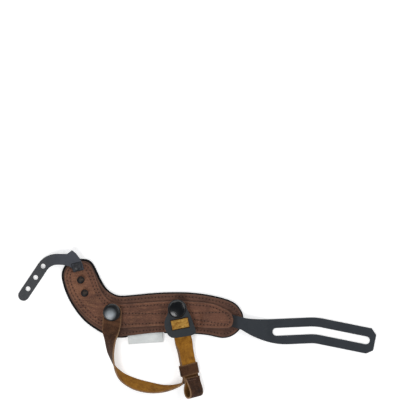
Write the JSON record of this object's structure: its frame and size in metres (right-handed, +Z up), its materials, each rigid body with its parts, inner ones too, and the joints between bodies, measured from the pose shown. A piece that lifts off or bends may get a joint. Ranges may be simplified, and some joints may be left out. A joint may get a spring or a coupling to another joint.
{
  "type": "camera hand grip strap",
  "caption": "Curved padded leather hand grip strap for a camera, with a press-studded wrist strap, a perforated rubber strap on studs and a long slotted rubber strap.",
  "frame": {"origin": "on the pad's underside, between its two press studs", "axes": "+X along the pad towards the slotted strap, +Y towards the edge the fingers come out of, +Z up from the face that lies against the hand"},
  "size_m": [0.3157, 0.1305, 0.0175],
  "materials": {
    "padding": "matt black knitted face",
    "leather": "waxed, rubbed pale along the edges",
    "rubber": "satin",
    "black_metal": "gloss black",
    "label": "woven, bare"
  },
  "bodies": {
    "pad": {"pad": "padding", "base_leather": "leather", "overlay_leather": "leather", "label": "label", "perforated_strap": "rubber", "anchor_stud": "black_metal", "upper_stud": "black_metal", "lower_stud": "black_metal", "anchor_stud_back": "black_metal", "upper_stud_back": "black_metal", "lower_stud_back": "black_metal", "slotted_strap": "rubber", "left_snap_stud": "black_metal", "left_snap_post": "black_metal", "right_snap_stud": "black_metal", "right_snap_post": "black_metal"},
    "wrist_strap": {"wrist_strap": "leather", "slider": "rubber", "left_snap_cap": "black_metal", "right_snap_cap": "black_metal", "left_snap_socket": "black_metal", "right_snap_socket": "black_metal"},
    "keeper": {"keeper": "leather"}
  },
  "joints": [
    {"name": "wrist_strap_release", "type": "slide", "parent": "pad", "child": "wrist_strap", "axis": [0, 0, 1], "range_m": [0, 0.01]},
    {"name": "keeper_slide", "type": "slide", "parent": "wrist_strap", "child": "keeper", "axis": [-0.1905, 0.9801, 0.0564], "range_m": [0, 0.012]}
  ]
}
